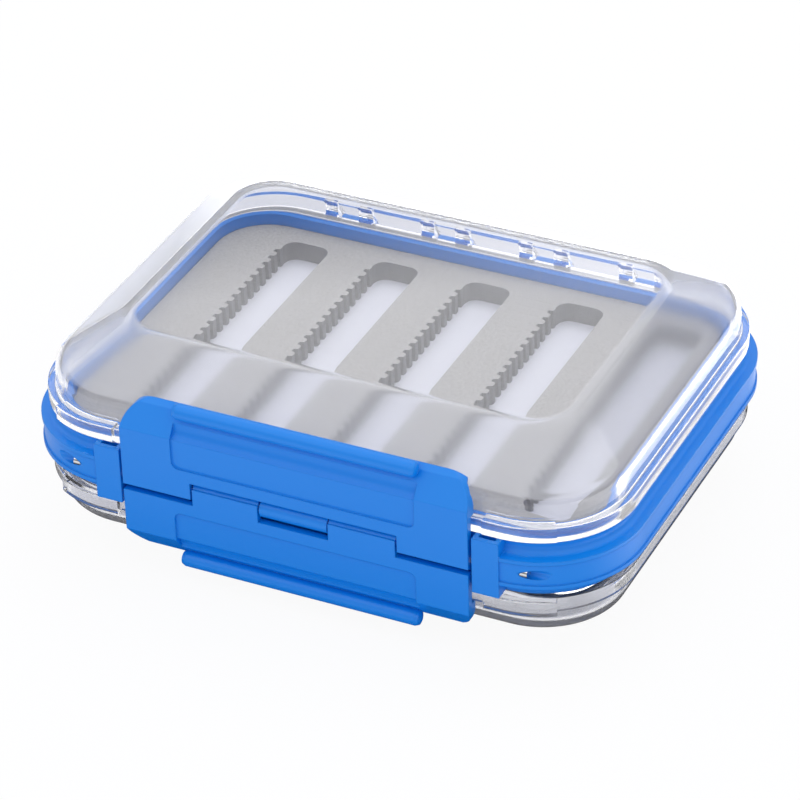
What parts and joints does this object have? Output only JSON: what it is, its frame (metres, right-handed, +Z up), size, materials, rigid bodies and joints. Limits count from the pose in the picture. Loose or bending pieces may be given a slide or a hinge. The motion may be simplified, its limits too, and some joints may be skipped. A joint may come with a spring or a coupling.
{
  "type": "jig box",
  "caption": "Clear-lidded box with a lid on each face of a belted frame, slit foam on both sides of a centre panel, and mirrored swing latches on a shared pin.",
  "frame": {"origin": "centre of the lower lid's flat window, on its outside, where the box rests", "axes": "+Z up through both lids, +X to the right along the front, +Y from the latches to the hinges"},
  "size_m": [0.122, 0.0958, 0.0432],
  "materials": {
    "frame_plastic": "glossy moulded blue plastic",
    "latch_plastic": "glossy moulded blue plastic",
    "clear_plastic": "clear moulded plastic",
    "panel_plastic": "matte white sheet",
    "foam": "matte grey closed-cell foam",
    "seal_rubber": "satin white silicone",
    "pin_steel": "polished wire"
  },
  "bodies": {
    "case": {"frame": "frame_plastic", "centre_panel": "panel_plastic", "top_foam": "foam", "bottom_foam": "foam", "top_seal": "seal_rubber", "bottom_seal": "seal_rubber", "latch_pin": "pin_steel", "top_hinge_pins": "pin_steel", "bottom_hinge_pins": "pin_steel"},
    "top_lid": {"top_lid": "clear_plastic"},
    "bottom_lid": {"bottom_lid": "clear_plastic"},
    "upper_latch": {"upper_latch": "latch_plastic"},
    "lower_latch": {"lower_latch": "latch_plastic"}
  },
  "joints": [
    {"name": "top_lid_hinge", "type": "hinge", "parent": "case", "child": "top_lid", "pos_m": [0, 0.0464, 0.0254], "axis": [-1, 0, 0], "range_deg": [0, 110]},
    {"name": "bottom_lid_hinge", "type": "hinge", "parent": "case", "child": "bottom_lid", "pos_m": [0, 0.0464, 0.0178], "axis": [1, 0, 0], "range_deg": [0, 110]},
    {"name": "upper_latch_swing", "type": "hinge", "parent": "case", "child": "upper_latch", "pos_m": [0, -0.0452, 0.0216], "axis": [1, 0, 0], "range_deg": [0, 48]},
    {"name": "lower_latch_swing", "type": "hinge", "parent": "case", "child": "lower_latch", "pos_m": [0, -0.0452, 0.0216], "axis": [-1, 0, 0], "range_deg": [0, 48]}
  ]
}
